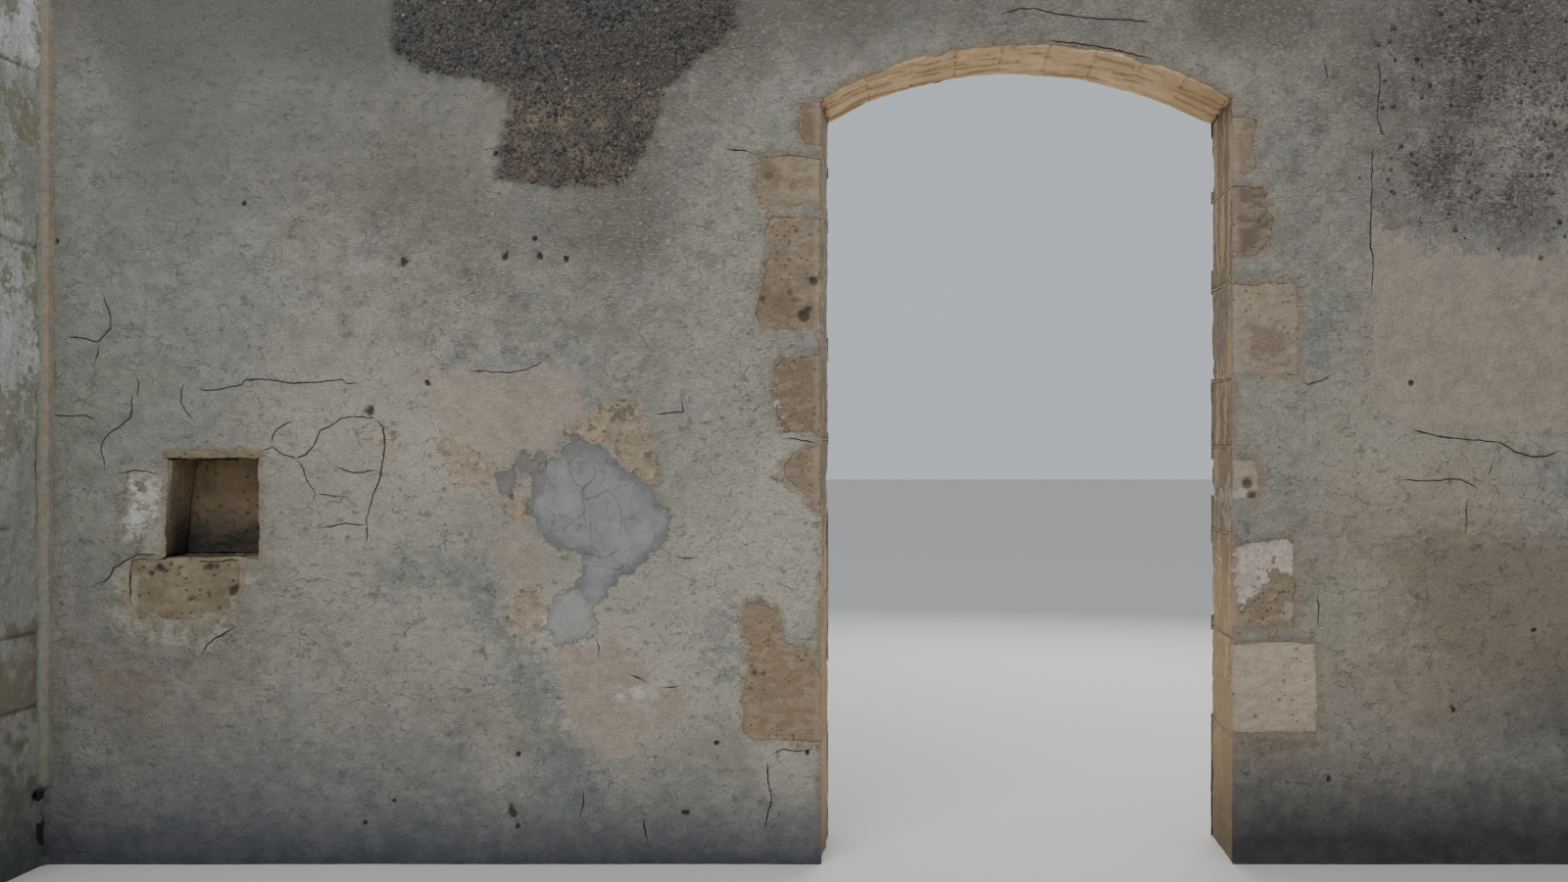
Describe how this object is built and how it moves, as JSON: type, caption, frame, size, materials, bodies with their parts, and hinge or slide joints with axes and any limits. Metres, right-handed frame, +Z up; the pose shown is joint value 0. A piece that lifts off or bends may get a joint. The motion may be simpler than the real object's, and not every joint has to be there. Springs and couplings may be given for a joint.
{
  "type": "arched gateway in a rendered stone wall",
  "caption": "Tall weathered garden wall with a segmental-arched gateway, bared ochre jamb stones, patched lime render, a small blind niche and a return wall at the left",
  "frame": {"origin": "Middle of the object's foot: the middle of its box at the lowest ground, with the gateway 0.94 m to +X", "axes": "+X runs along the wall to the right of the pictured face, +Y goes into the wall away from the viewer, +Z is up"},
  "size_m": [7.31, 1.03, 4.045],
  "materials": {
    "rubble": "rough rubble masonry",
    "dressed_stone": "weathered soft limestone",
    "limewashed_stone": "limewashed",
    "lime_mortar": "lime mortar",
    "lime_render": "mottled old lime render",
    "limewash": "flaking limewash",
    "cement": "smooth cement",
    "red_mortar": "reddish mortar"
  },
  "bodies": {
    "root": {"wall_left_lower": "rubble", "wall_left_corner_side": "rubble", "wall_left_middle": "rubble", "wall_left_upper": "rubble", "wall_right": "rubble", "wall_over_gate": "rubble", "left_jamb_stone_1": "dressed_stone", "left_jamb_stone_2": "dressed_stone", "left_jamb_stone_3": "dressed_stone", "left_jamb_stone_4": "dressed_stone", "left_jamb_stone_5": "dressed_stone", "left_jamb_stone_6": "dressed_stone", "left_jamb_stone_7": "dressed_stone", "left_jamb_stone_8": "dressed_stone", "right_jamb_stone_1": "dressed_stone", "right_jamb_stone_2": "dressed_stone", "right_jamb_stone_3": "dressed_stone", "right_jamb_stone_4": "dressed_stone", "right_jamb_stone_5": "dressed_stone", "right_jamb_stone_6": "dressed_stone", "right_jamb_stone_7": "dressed_stone", "right_jamb_stone_8": "dressed_stone", "jamb_mortar": "lime_mortar", "left_skewback": "dressed_stone", "right_skewback": "dressed_stone", "arch_voussoirs_left": "dressed_stone", "arch_keystone": "dressed_stone", "arch_voussoirs_right": "dressed_stone", "arch_mortar": "lime_mortar", "niche_back_wall": "rubble", "niche_left_stone": "limewashed_stone", "niche_lintel": "dressed_stone", "niche_sill_block": "dressed_stone", "return_wall": "rubble", "return_wall_coat": "limewash", "corner_fillet": "red_mortar", "coat_front_left": "lime_render", "coat_front_over_gate": "lime_render", "coat_front_right": "lime_render", "coat_back": "lime_render", "cement_repair": "cement", "wall_cap": "lime_mortar", "return_wall_cap": "lime_mortar"}
  },
  "joints": []
}
